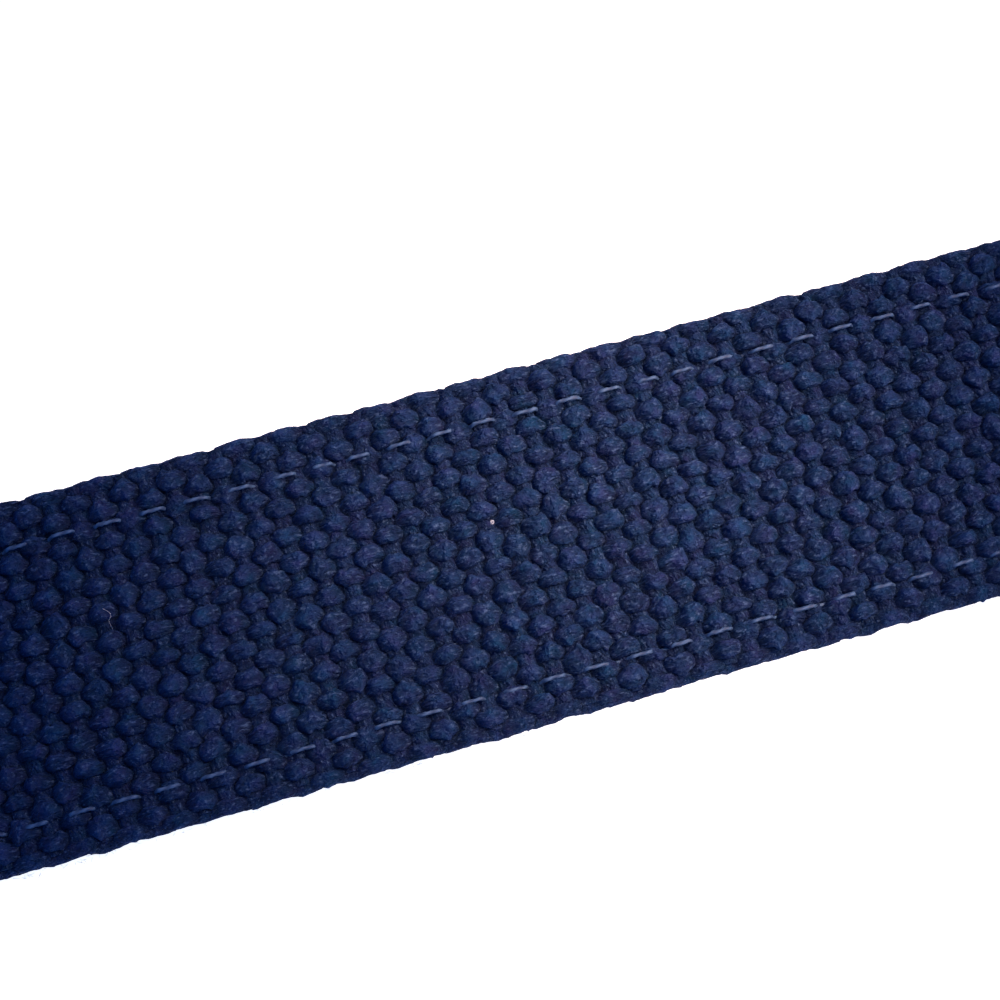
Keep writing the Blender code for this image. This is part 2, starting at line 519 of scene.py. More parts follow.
@dataclass(frozen=True)
class CottonWebbing:
    """Plied cotton webbing, piece-dyed navy and plain woven.

    Cotton fibre scatters light with no gloss, so the crowns look soft, uneven and a little dusty,
    with pale flecks painted in as highlights where loose fibres catch the light. Their tops are
    painted paler and their shoulders darker, as painted shade for the hollows between crowns.
    """

    name: str = "navy_cotton_webbing"
    teal: str = "#0e2c4a"
    plum: str = "#1d254a"
    # Painted highlight: the pale colour of specks where loose fibres catch the light
    painted_glint: str = "#4f688f"
    sheen_tint: str = "#3c64b4"
    roughness: float = 0.92
    specular: float = 0.06
    sheen: float = 0.22
    fibre_mm: tuple[float, float, float] = (0.34, 0.19, 0.27)
    tuft_mm: tuple[float, float, float] = (1.0, 0.8, 0.19)
    painted_glint_mm: tuple[float, float, float] = (0.34, 0.24, 0.13)
    cast_mm: float = 1.5
    twist: float = math.radians(24)
    fibre_depth: float = 0.1 * MM
    tuft_depth: float = 1.9 * MM
    hue_share: float = 0.03
    hue: Stretch = Stretch(0.26, 0.74, 0.0, 1.0)
    # Where the painted highlight specks show, and how strongly
    painted_glints: Stretch = Stretch(0.54, 0.74, 0.0, 0.6)
    fibre_shade: Stretch = Stretch(0.3, 0.7, 0.84, 1.16)
    tuft_shade: Stretch = Stretch(0.32, 0.68, 0.62, 1.38)
    depth_shade: Stretch = Stretch(-2.0, 2.0, 0.82, 1.18)
    # Painted shade by height on a crown: darker on its shoulders and in the hollows, paler on its
    # top
    painted_crown_shade: Stretch = Stretch(0.0, 1.0, 0.62, 1.14)

    def make(self) -> bpy.types.Material:
        """Make the material.

        Cotton fibres are about 0.02 mm thick, which is too fine to show, so they are drawn as
        strands 0.19 mm wide, and gathered into tufts.

        Returns:
            The material, which reads the yarn and dye numbers of each point.
        """
        material, shader = new_material(
            self.name,
            {
                "Roughness": self.roughness,
                "Specular IOR Level": self.specular,
                "Sheen Weight": self.sheen,
                "Sheen Roughness": 0.5,
                "Sheen Tint": linear(self.sheen_tint),
            },
        )
        tree = material.node_tree
        yarn = add_node(tree, "ShaderNodeAttribute", attribute_name="yarn").outputs["Vector"]
        dye = add_node(tree, "ShaderNodeAttribute", attribute_name="dye").outputs["Vector"]
        dyes = add_node(tree, "ShaderNodeSeparateXYZ", links={0: dye}).outputs
        twisted = add_node(
            tree,
            "ShaderNodeVectorRotate",
            {"Angle": self.twist},
            {"Vector": yarn},
            rotation_type="Z_AXIS",
        ).outputs[0]
        grains = []
        for place, size_mm in (
            (twisted, self.fibre_mm),
            (twisted, self.tuft_mm),
            (yarn, self.painted_glint_mm),
        ):
            counts = {1: tuple(1 / size for size in size_mm)}
            scaled = add_node(
                tree, "ShaderNodeVectorMath", counts, {0: place}, operation="MULTIPLY"
            )
            noise = add_node(
                tree,
                "ShaderNodeTexNoise",
                {"Scale": 1.0, "Detail": 3.0, "Roughness": 0.6},
                {"Vector": scaled.outputs[0]},
            )
            grains.append(noise.outputs["Fac"])
        fibres, tufts, glint_noise = grains
        clouds = add_node(
            tree,
            "ShaderNodeTexNoise",
            {"Scale": 1 / (self.cast_mm * MM), "Detail": 2.0, "Roughness": 0.6},
            {"Vector": add_node(tree, "ShaderNodeTexCoord").outputs["Object"]},
        )
        wander = add_node(
            tree,
            "ShaderNodeMath",
            {1: self.hue_share},
            {0: dyes[0], 2: clouds.outputs["Fac"]},
            operation="MULTIPLY_ADD",
        )
        hue, painted_glints, shade, *others = (
            add_node(
                tree, "ShaderNodeMapRange", stretch.sockets(), {"Value": value}
            ).outputs[0]
            for value, stretch in (
                (wander.outputs[0], self.hue),
                (glint_noise, self.painted_glints),
                (fibres, self.fibre_shade),
                (tufts, self.tuft_shade),
                (dyes[1], self.depth_shade),
                # Painted shade from how near the top of a crown each point is
                (dyes[2], self.painted_crown_shade),
            )
        )
        for part in others:
            product = add_node(
                tree, "ShaderNodeMath", links={0: shade, 1: part}, operation="MULTIPLY"
            )
            shade = product.outputs[0]
        cast = add_node(
            tree,
            "ShaderNodeMix",
            {"A": linear(self.teal), "B": linear(self.plum)},
            {"Factor": hue},
            data_type="RGBA",
        )
        shaded = add_node(
            tree,
            "ShaderNodeVectorMath",
            links={0: cast.outputs["Result"], "Scale": shade},
            operation="SCALE",
        )
        # Pale specks painted on as highlights where loose fibres catch the light
        glinted = add_node(
            tree,
            "ShaderNodeMix",
            {"B": linear(self.painted_glint)},
            {"Factor": painted_glints, "A": shaded.outputs[0]},
            data_type="RGBA",
        )
        fluff = add_node(
            tree,
            "ShaderNodeBump",
            {"Strength": 1.0, "Distance": self.tuft_depth},
            {"Height": tufts},
        )
        relief = add_node(
            tree,
            "ShaderNodeBump",
            {"Strength": 1.0, "Distance": self.fibre_depth},
            {"Height": fibres, "Normal": fluff.outputs[0]},
        )
        feed(
            shader,
            links={"Base Color": glinted.outputs["Result"], "Normal": relief.outputs[0]},
        )
        return material


@dataclass(frozen=True)
class SpunThread:
    """Spun polyester sewing thread, two plies twisted.

    Its fibres are smoother than cotton, so it has a faint gloss, and the plies show as slanting
    bands, with painted shade in the grooves between them and their crests painted paler.
    """

    name: str = "pale_blue_sewing_thread"
    pale: str = "#3a567b"
    shaded: str = "#253b5d"
    roughness: float = 0.6
    ply_pitch_mm: float = 0.55

    def make(self) -> bpy.types.Material:
        """Make the material.

        Returns:
            The material, which reads the yarn numbers of each point.
        """
        material, shader = new_material(
            self.name, {"Roughness": self.roughness, "Specular IOR Level": 0.35}
        )
        tree = material.node_tree
        yarn = add_node(tree, "ShaderNodeAttribute", attribute_name="yarn").outputs["Vector"]
        per_mm = 1 / self.ply_pitch_mm
        slant = add_node(
            tree,
            "ShaderNodeVectorMath",
            {1: (per_mm, per_mm, 0.0)},
            {0: yarn},
            operation="MULTIPLY",
        )
        plies = add_node(
            tree,
            "ShaderNodeTexWave",
            {"Scale": 0.32, "Distortion": 0.6, "Detail": 2.0, "Detail Scale": 2.0},
            {"Vector": slant.outputs[0]},
            bands_direction="DIAGONAL",
        )
        # Painted shade in the grooves between the plies, their crests painted paler
        colour = add_node(
            tree,
            "ShaderNodeMix",
            {"A": linear(self.shaded), "B": linear(self.pale)},
            {"Factor": plies.outputs["Fac"]},
            data_type="RGBA",
        )
        relief = add_node(
            tree,
            "ShaderNodeBump",
            {"Strength": 0.7, "Distance": 0.05 * MM},
            {"Height": plies.outputs["Fac"]},
        )
        feed(
            shader,
            links={"Base Color": colour.outputs["Result"], "Normal": relief.outputs[0]},
        )
        return material


@dataclass(frozen=True)
class Lint:
    """Undyed cotton lint, a matt off-white."""

    name: str = "cotton_lint"
    pale: str = "#c9cfdd"
    grey: str = "#8a93a8"

    def make(self) -> bpy.types.Material:
        """Make the material.

        Returns:
            The material.
        """
        material, shader = new_material(
            self.name, {"Roughness": 0.9, "Specular IOR Level": 0.2}
        )
        tree = material.node_tree
        yarn = add_node(tree, "ShaderNodeAttribute", attribute_name="yarn").outputs["Vector"]
        patches = add_node(
            tree, "ShaderNodeTexNoise", {"Scale": 2.0, "Detail": 2.0}, {"Vector": yarn}
        )
        colour = add_node(
            tree,
            "ShaderNodeMix",
            {"A": linear(self.grey), "B": linear(self.pale)},
            {"Factor": patches.outputs["Fac"]},
            data_type="RGBA",
        )
        feed(shader, links={"Base Color": colour.outputs["Result"]})
        return material


@dataclass(frozen=True)
class SatinNickel:
    """Nickel-plated steel wire, brushed along its length.

    The brushing leaves fine lines along the wire that spread its highlights, and the plating is
    a little warm.
    """

    name: str = "satin_nickel_wire"
    nickel: str = "#c9c4ba"
    handled: str = "#a8a297"
    line_pitch_mm: float = 0.06
    line_run_mm: float = 4.0
    gloss: Stretch = Stretch(0.3, 0.7, 0.32, 0.46)

    def make(self) -> bpy.types.Material:
        """Make the material.

        Returns:
            The material, which reads the yarn numbers as the way along and round the wire.
        """
        material, shader = new_material(self.name, {"Metallic": 1.0, "Anisotropic": 0.3})
        tree = material.node_tree
        wire = add_node(tree, "ShaderNodeAttribute", attribute_name="yarn").outputs["Vector"]
        brushed = add_node(
            tree,
            "ShaderNodeVectorMath",
            {1: (1 / self.line_run_mm, 1 / self.line_pitch_mm, 1.0)},
            {0: wire},
            operation="MULTIPLY",
        )
        lines, hands = (
            add_node(
                tree, "ShaderNodeTexNoise", {"Scale": scale, "Detail": 3.0}, {"Vector": place}
            ).outputs["Fac"]
            for scale, place in ((1.0, brushed.outputs[0]), (0.35, wire))
        )
        colour = add_node(
            tree,
            "ShaderNodeMix",
            {"A": linear(self.handled), "B": linear(self.nickel)},
            {"Factor": hands},
            data_type="RGBA",
        )
        gloss = add_node(tree, "ShaderNodeMapRange", self.gloss.sockets(), {"Value": lines})
        relief = add_node(
            tree, "ShaderNodeBump", {"Strength": 0.35, "Distance": 0.01 * MM}, {"Height": lines}
        )
        feed(
            shader,
            links={
                "Base Color": colour.outputs["Result"],
                "Roughness": gloss.outputs[0],
                "Normal": relief.outputs[0],
            },
        )
        return material


@dataclass(frozen=True)
class WhitePaper:
    """White seamless paper, evenly lit from below as well, so that it stays white."""

    name: str = "white_paper"
    white: str = "#f6f6f6"
    glow: float = 0.95
    grain_mm: float = 1.5

    def make(self) -> bpy.types.Material:
        """Make the material.

        Returns:
            The material.
        """
        material, shader = new_material(
            self.name,
            {
                "Base Color": linear(self.white),
                "Roughness": 0.85,
                "Emission Color": linear("#ffffff"),
                "Emission Strength": self.glow,
            },
        )
        tree = material.node_tree
        place = add_node(tree, "ShaderNodeTexCoord").outputs["Object"]
        pulp = add_node(
            tree, "ShaderNodeTexNoise", {"Scale": 1 / (self.grain_mm * MM)}, {"Vector": place}
        )
        relief = add_node(
            tree,
            "ShaderNodeBump",
            {"Strength": 0.1, "Distance": 0.02 * MM},
            {"Height": pulp.outputs["Fac"]},
        )
        feed(shader, links={"Normal": relief.outputs[0]})
        return material


@dataclass(frozen=True)
class StitchRow:
    """One row of lock stitch along the strap.

    It runs at across, and the stitches near the origin have their middles at the given places
    along X. The rest of the row is evenly spaced.
    """

    name: str
    across: float
    middles_mm: tuple[float, ...]
    stitch: float = 3.74 * MM
    beyond: int = 400

    def count_at(self, x: Array) -> Array:
        """Count the stitches from the first given one to a place, whole at a stitch's middle.

        Args:
            x: places along the belt.

        Returns:
            The count at each place.
        """
        given = np.array(self.middles_mm) * MM
        run = self.beyond * self.stitch
        places = (given[0] - run, *given, given[-1] + run)
        counts = (-self.beyond, *range(len(given)), len(given) - 1 + self.beyond)
        return np.interp(x, places, counts)


FAR_ROW = StitchRow(
    "stitch_row_far",
    11.17 * MM,
    (
        *(-43.6, -39.8, -35.9, -31.9, -28.0, -24.2, -20.4, -16.3, -12.8, -9.7, -5.8, -2.0),
        *(1.7, 5.6, 9.5, 13.3, 17.0, 20.1, 23.8, 27.8, 31.5, 35.2, 39.2, 42.7),
    ),
)
NEAR_ROW = StitchRow(
    "stitch_row_near",
    -12.37 * MM,
    (
        *(-43.6, -39.8, -36.1, -32.5, -28.5, -24.8, -20.8, -17.0, -13.6, -9.8, -6.0, -2.2),
        *(1.1, 5.0, 9.0, 12.7, 16.0, 19.9, 23.8, 27.6, 31.0, 34.6, 38.5, 42.1),
    ),
)


@dataclass
class WovenStrap:
    """The strap as plain-woven yarn: ends that run along it, over and under the filling yarn."""

    line: StrapLine
    rows: tuple[StitchRow, ...]
    # The ends: their places, their sizes on a crown and where they cross over, and their waves
    ends: int = 25
    end_pitch: float = 1.2545 * MM
    outermost: tuple[float, float] = (-15.16 * MM, 15.04 * MM)
    pick_pitch: float = 2.103 * MM
    crown_x: float = 1.52 * MM
    drift: float = -0.2 * MM
    crimp: float = 0.86 * MM
    crown_half_width: float = 0.91 * MM
    crown_half_height: float = 0.43 * MM
    crossing_half_width: float = 0.64 * MM
    crossing_half_height: float = 0.44 * MM
    outermost_half_width: tuple[float, float] = (0.74 * MM, 0.7 * MM)
    outermost_half_height: float = 0.7 * MM
    outermost_crimp: float = 0.3 * MM
    outermost_freedom: float = 0.4
    flat_top: float = 0.3
    girth_mm: float = 0.7
    lean: float = 0.35
    # The least distance in picks from a ring to the end of a stretch
    ring_gap: float = 0.03
    # How uneven an end's thickness is
    lump: float = 0.17
    lump_run: float = 0.42 * MM
    lumps_around: int = 9
    # The filling between the ends, drawn with a step in picks and a number of points across
    filling_crest: float = 0.74 * MM
    filling_valley: float = 0.16 * MM
    filling_sway: float = 0.14 * MM
    # Painted shade on the filling: darker in its valleys, paler on its crests
    filling_painted_shade: float = 0.5
    filling_round: float = 0.8
    filling_pressed: float = 0.4
    filling_plain: tuple[float, int] = (0.25, 3)
    filling_close: tuple[float, int] = (0.2, 51)
    filling_edge: float = 15.2 * MM
    filling_number: float = 40.0
    # Its turns round the outermost ends
    turn_reach: float = 15.42 * MM
    turn_root: float = 15.0 * MM
    turn_shift: float = -0.05 * MM
    turn_radius: float = 0.37 * MM
    turn_tall: float = 1.15
    turn_rise: float = 0.08 * MM
    turn_rings: int = 5
    turn_sides: int = 5
    turn_margin: float = 0.3
    turn_girth_mm: float = 0.4
    # The painted shade of the turns, as for a point partway up a crown
    turn_painted_shade: float = 0.55
    turn_shades: int = 40
    turn_number: float = 600.0
    # The furrows that the rows of stitching press in
    sewn_depth: float = 0.24 * MM
    sewn_width: float = 0.8 * MM
    sewn_beat: float = 0.25
    # How much each crown differs from the usual one, drawn for a few picks more than there are
    spare_picks: int = 8
    picks_before: int = 2
    seed: int = 11
    spread: tuple[tuple[str, float], ...] = (
        ("lift", 0.07 * MM),
        ("swell", 0.12),
        ("sway", 0.12 * MM),
        ("slip", 0.2 * MM),
        ("hue", 0.8),
        ("depth", 0.8),
    )
    varied: dict[str, Array] = field(init=False)

    def __post_init__(self) -> None:
        """Draw how each crown differs from the usual one."""
        rng = np.random.default_rng(self.seed)
        crowns = (self.ends + 1, int(self.line.length / self.pick_pitch) + self.spare_picks)
        self.varied = {name: rng.normal(0.0, by, crowns) for name, by in self.spread}

    def pick_at(self, along: Array | float) -> Array | float:
        """Count of picks from the start of the strap to a place along it."""
        return (along - self.line.flat(self.crown_x)) / self.pick_pitch

    def along_at(self, pick: Array | float) -> Array | float:
        """Place along the strap of a count of picks."""
        return self.line.flat(self.crown_x) + pick * self.pick_pitch

    def vary(self, name: str, end: int, pick: Array) -> Array:
        """How much one of the varied things differs along an end.

        Args:
            name: which of the varied things.
            end: the end's number, or the last one for the filling.
            pick: the picks at which to say.

        Returns:
            The difference at each pick.
        """
        drawn = self.varied[name][end]
        first = int(self.pick_at(0.0)) - self.picks_before
        return np.interp(pick, first + np.arange(len(drawn)), drawn)

    def across_of(self, end: int) -> float:
        """Find where an end lies across the strap, the outermost two a little drawn in.

        Args:
            end: the end's number.

        Returns:
            Its place across the strap.
        """
        low, high = self.outermost
        across = (end - (self.ends - 1) / 2) * self.end_pitch + self.drift
        return min(max(across, low), high)

    def lumpy(self, end: int, along: Array, angle: Array) -> Array:
        """Find how much thicker or thinner than usual an end is at each point of its skin.

        Args:
            end: the end's number.
            along: how far along the strap each oval is.
            angle: where round the oval its points lie, one row for each oval.

        Returns:
            A factor for each point.
        """
        rng = np.random.default_rng((self.seed, end))
        count = int(self.line.length / self.lump_run) + 2
        drawn = rng.normal(1.0, self.lump, (count, self.lumps_around))
        run = (np.clip(along, 0, self.line.length) / self.lump_run)[:, None]
        turn = angle / math.tau * self.lumps_around
        row, column = np.floor(run).astype(int), np.floor(turn).astype(int)
        run, turn = run - row, turn - column
        run, turn = run * run * (3 - 2 * run), turn * turn * (3 - 2 * turn)
        here, beside = column % self.lumps_around, (column + 1) % self.lumps_around
        low = drawn[row, here] * (1 - turn) + drawn[row, beside] * turn
        high = drawn[row + 1, here] * (1 - turn) + drawn[row + 1, beside] * turn
        return low * (1 - run) + high * run

    def pressed(self, along: Array, across: Array) -> Array:
        """How far the sewing presses the weave in.

        Args:
            along: places along the strap.
            across: places across it.

        Returns:
            The depth below the usual surface.
        """
        depth = np.zeros(np.broadcast(along, across).shape)
        for row in self.rows:
            near = np.exp(-(((across - row.across) / self.sewn_width) ** 2))
            beat = math.tau * row.count_at(along - self.line.flat(0.0))
            depth += self.sewn_depth * near * (1 - self.sewn_beat - self.sewn_beat * np.cos(beat))
        return depth

    def grid(self, low: float, high: float, end: int, drawing: Drawing) -> Array:
        """Picks at which to draw an end's rings over a stretch of the strap.

        Args:
            low: where the stretch starts along the strap.
            high: where it ends.
            end: the end's number.
            drawing: how finely it is drawn.

        Returns:
            The picks, with a ring on each crown and one at each end of the stretch.
        """
        first, last = self.pick_at(low), self.pick_at(high)
        rings = []
        for crown in range(math.floor(first), math.ceil(last) + 1):
            count = drawing.rings(crown + end)
            rings.append(crown + (np.arange(count) - (count - 1) / 2) / count)
        inner = np.concatenate(rings)
        inner = inner[(inner - first > self.ring_gap) & (last - inner > self.ring_gap)]
        return np.concatenate([[first], inner, [last]])

    def add_end(self, work: Piecework, end: int, pick: Array, drawing: Drawing) -> None:
        """Draw one end over a stretch of the strap.

        Args:
            work: the piece that it is part of.
            end: the end's number.
            pick: the picks at which to draw rings.
            drawing: how finely it is drawn.
        """
        along = self.along_at(pick)
        wave = np.cos(math.pi * (pick + end))
        high = np.abs(wave)
        if end in (0, self.ends - 1):
            crown, crossing = self.outermost_half_width
            crimp, freedom = self.outermost_crimp, self.outermost_freedom
            half_tall = np.full(len(pick), self.outermost_half_height)
        else:
            crown, crossing = self.crown_half_width, self.crossing_half_width
            crimp, freedom = self.crimp, 1.0
            low_tall = self.crossing_half_height
            half_tall = low_tall + (self.crown_half_height - low_tall) * high
        lift, swell, sway, slip, hue, depth = (
            self.vary(name, end, pick) for name, _ in self.spread
        )
        across = self.across_of(end) + sway * freedom
        bent = (1 + self.flat_top) * wave - self.flat_top * wave**3
        up = (crimp + lift * freedom - self.pressed(along, across)) * bent
        half_wide = (crossing + (crown - crossing) * high) * (1 + swell * freedom)
        slipped = along + slip * high
        slope = np.gradient(up, slipped)
        tall = unit(np.stack([-slope, np.zeros_like(slope), np.ones_like(slope)], -1))
        wide = np.tile((0.0, 1.0, 0.0), (len(pick), 1))
        line = np.stack([slipped, across, up], -1)
        angle = around(len(pick), drawing.sides, self.lean * wave)
        lumps = 1 + (self.lumpy(end, along, angle) - 1) * freedom
        skin, faces = tube(line, wide, tall, half_wide, half_tall, angle, lumps=lumps)
        # The third dye number, near 1 on a crown's top and 0 low down, sets the painted shade
        dye = np.stack([hue, depth, high**2], -1)
        work.add_tube(self.line.place(skin), faces, angle, along / MM, self.girth_mm, end, dye)

    def add_filling(self, work: Piecework, pick: Array, columns: int) -> None:
        """Draw the filling yarn over a stretch of the strap, as one ribbed layer.

        Args:
            work: the piece that it is part of.
            pick: the picks at which to draw its cross lines.
            columns: how many points each cross line has.
        """
        across = np.linspace(-self.filling_edge, self.filling_edge, columns)
        whole = np.round(pick)
        rise = np.cos(math.pi * pick) ** 2
        number_across = (across - self.drift) / self.end_pitch + self.ends // 2
        bent = np.cos(math.pi * (whole[:, None] + number_across))
        sways = columns > self.filling_plain[1]
        lean = -self.filling_sway * bent * rise[:, None] * sways
        crest, valley = self.filling_crest, self.filling_valley
        half = valley + (crest - valley) * rise**self.filling_round
        along = self.along_at(pick)
        press = self.filling_pressed * self.pressed(along[:, None], across[None])
        half = half[:, None] - press
        rows = len(pick)
        grid_along = np.repeat(along, columns)
        grid_across = np.tile(across, rows)
        points = np.concatenate(
            [
                np.stack([grid_along, grid_across, (lean + face.value * half).ravel()], -1)
                for face in Face
            ]
        )
        number = np.arange(rows * columns).reshape(rows, columns)
        quads = [number[:-1, :-1], number[1:, :-1], number[1:, 1:], number[:-1, 1:]]
        top = np.stack(quads, -1).reshape(-1, 4)
        rim = np.concatenate([number[0, :-1], number[:-1, -1], number[-1, :0:-1], number[:0:-1, 0]])
        beside = np.roll(rim, -1)
        wall = np.stack([rim, beside, beside + number.size, rim + number.size], -1)
        faces = [top, top[:, ::-1] + number.size, wall[:, ::-1]]
        which = self.filling_number + np.tile(np.repeat(whole, columns), 2)
        yarn = np.stack([points[:, 1] / MM, points[:, 0] / MM, which], -1)
        last = self.ends
        numbers = (self.vary("hue", last, whole), self.vary("depth", last, whole))
        # The filling's painted shade follows how high it rises
        numbers += (self.filling_painted_shade * rise,)
        dye = np.tile(np.repeat(np.stack(numbers, -1), columns, axis=0), (2, 1))
        work.add(self.line.place(points), faces, yarn, dye)

    def add_turns(self, work: Piecework) -> None:
        """Draw the filling yarn where it turns back round the outermost ends.

        Args:
            work: the piece that the turns are part of.
        """
        sweep = np.linspace(0, math.pi, self.turn_rings)
        angle = around(self.turn_rings, self.turn_sides)
        radius = np.full(self.turn_rings, self.turn_radius)
        out = self.turn_root + (self.turn_reach - self.turn_root) * np.sin(sweep)
        first = math.ceil(self.pick_at(0.0) + self.turn_margin)
        last = math.floor(self.pick_at(self.line.length) - self.turn_margin)
        for pick in range(first, last):
            side = 1 if pick % 2 else -1
            along = self.along_at(pick + (1 - np.cos(sweep)) / 2)
            across, up = side * out + self.turn_shift, self.turn_rise * np.cos(sweep)
            line = np.stack([along, across, up], -1)
            wide, tall = frames_along(line, (0.0, 0.0, 1.0))
            skin, faces = tube(line, wide, tall, radius, radius * self.turn_tall, angle)
            shade = float(self.varied["depth"][pick % self.ends][pick % self.turn_shades])
            # Each turn gets a fixed painted shade
            dye, which = (shade, shade, self.turn_painted_shade), self.turn_number + pick
            place = self.line.place(skin)
            work.add_tube(place, faces, angle, sweep, self.turn_girth_mm, which, dye)

    def build(self, cotton: bpy.types.Material) -> None:
        """Args:
            cotton: the webbing's material.
        """
        low, high = self.line.close()
        middle, end = (low + high) / 2, self.line.length
        before, after = low / 2, (high + end) / 2
        stretches = (
            ("warp_hem_end", 0.0, before, Drawing.PLAIN),
            ("warp_before_view", before, low, Drawing.PLAIN),
            ("warp_view_left", low, middle, Drawing.CLOSE),
            ("warp_view_right", middle, high, Drawing.CLOSE),
            ("warp_after_view", high, after, Drawing.PLAIN),
            ("warp_tail_end", after, end, Drawing.PLAIN),
        )
        pieces = []
        for name, start, stop, drawing in stretches:
            work = Piecework(name)
            for number in range(self.ends):
                self.add_end(work, number, self.grid(start, stop, number, drawing), drawing)
            pieces.append(work.make(cotton, Slot.WEBBING))
        filling = Piecework("filling")
        for start, stop, (step, columns) in (
            (0.0, low, self.filling_plain),
            (low, high, self.filling_close),
            (high, end, self.filling_plain),
        ):
            first, last = self.pick_at(start), self.pick_at(stop)
            count = round((last - first) / step) + 1
            self.add_filling(filling, np.linspace(first, last, count), columns)
        sheet = filling.make(cotton, Slot.WEBBING)
        turns = Piecework("filling_turns")
        self.add_turns(turns)
        pieces.append(turns.make(cotton, Slot.WEBBING))
        for piece in (sheet, *pieces):
            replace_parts(piece, "strap")


@dataclass
class Stitching:
    """Lock stitch along both edges of the strap, and across it where its ends are turned back."""

    line: StrapLine
    rows: tuple[StitchRow, ...]
    # The thread, and how it rises and dives between its holes
    thread_radius: float = 0.17 * MM
    thread_tall: float = 0.85
    ragged: float = 0.16
    crest: float = 1.17 * MM
    dive: float = 1.0 * MM
    dive_from: float = 0.58
    dive_over: float = 0.38
    # How far its stitches wander, drawn for more of them than a row has
    wander: float = 0.05 * MM
    wander_count: int = 900
    # How finely a row is drawn, as points on a stitch and sides
    row_plain: tuple[int, int] = (5, 4)
    row_close: tuple[int, int] = (16, 8)
    # The closing stitches, which cross the tail and the hem at distances from their cut ends
    cross_stitch: float = 3.0 * MM
    cross_reach: float = 10.5 * MM
    cross_crest: float = 1.25 * MM
    cross_arch: float = 2.2
    cross_steps: int = 8
    cross_sides: int = 6
    tail_rows: tuple[float, ...] = (4 * MM, 8 * MM, 33 * MM)
    hem_row: float = 4 * MM
    seed: int = 23

    def add_thread(self, work: Piecework, line: Array, sides: int) -> None:
        """Draw a thread along a line.

        Args:
            work: the piece that it is part of.
            line: rows of (along, across, up) that it follows.
            sides: how many sides it has.
        """
        wide, tall = frames_along(line, (0.0, 0.0, 1.0))
        radius = np.full(len(line), self.thread_radius)
        angle = around(len(line), sides)
        rng = np.random.default_rng((self.seed, len(line)))
        lumps = rng.normal(1.0, self.ragged, angle.shape)
        skin, faces = tube(
            line, wide, tall, radius, radius * self.thread_tall, angle, lumps=lumps
        )
        gone, girth = way_along(line) / MM, self.thread_radius / MM
        work.add_tube(self.line.place(skin), faces, angle, gone, girth, 0.0)

    def row_line(
        self, row: StitchRow, face: Face, low: float, high: float, steps: int
    ) -> Array:
        """Find the way of one row's thread on one face over a stretch of the strap.

        Args:
            row: the row.
            face: the face that it is seen on.
            low: where the stretch starts along the strap.
            high: where it ends.
            steps: how many points each stitch has.

        Returns:
            Rows of (along, across, up).
        """
        along = np.arange(low, high, row.stitch / steps)
        count = row.count_at(along - self.line.flat(0.0))
        rng = np.random.default_rng((self.seed, self.rows.index(row), int(face is Face.BACK)))
        drawn = rng.normal(0.0, self.wander, (2, self.wander_count))
        known = np.arange(self.wander_count) - row.beyond
        lift, sway = (np.interp(count, known, part) for part in drawn)
        bend = np.clip((np.abs(np.sin(math.pi * count)) - self.dive_from) / self.dive_over, 0, 1)
        up = face.value * (self.crest + lift - self.dive * bend * bend * (3 - 2 * bend))
        return np.stack([along, row.across + sway, up], -1)

    def cross_line(self, along: float) -> Array:
        """Find the way of a thread that is sewn across the strap and seen on its front.

        Args:
            along: where it crosses.

        Returns:
            Rows of (along, across, up).
        """
        stitches = 2 * round(self.cross_reach / self.cross_stitch)
        count = np.linspace(0, stitches, stitches * self.cross_steps + 1)
        arch = np.abs(np.cos(math.pi * count)) ** self.cross_arch
        across = -self.cross_reach + count / stitches * 2 * self.cross_reach
        up = Face.FRONT.value * (self.cross_crest - self.dive * arch)
        return np.stack([np.full_like(across, along), across, up], -1)

    def build(self, thread: bpy.types.Material) -> None:
        """Make the rows and the cross rows.

        Args:
            thread: the thread's material.
        """
        low, high = self.line.close()
        stretches = (
            (0.0, low, self.row_plain),
            (low, high, self.row_close),
            (high, self.line.length, self.row_plain),
        )
        for row in self.rows:
            work = Piecework(row.name)
            for face in Face:
                for start, stop, (steps, sides) in stretches:
                    self.add_thread(work, self.row_line(row, face, start, stop, steps), sides)
            work.make(thread, Slot.WEBBING)
        z = self.line.sizes
        tail_end = z.end_bar_x - z.tail_length
        hem_x = z.hem_bend_x + z.hem_length - self.hem_row
        crossings = [self.line.hem(hem_x), self.line.flat(hem_x)]
        for inset in self.tail_rows:
            crossings += [self.line.tail(tail_end + inset), self.line.flat(tail_end + inset)]
        work = Piecework("closing_stitches")
        for along in crossings:
            self.add_thread(work, self.cross_line(along), self.cross_sides)
        work.make(thread, Slot.WEBBING)


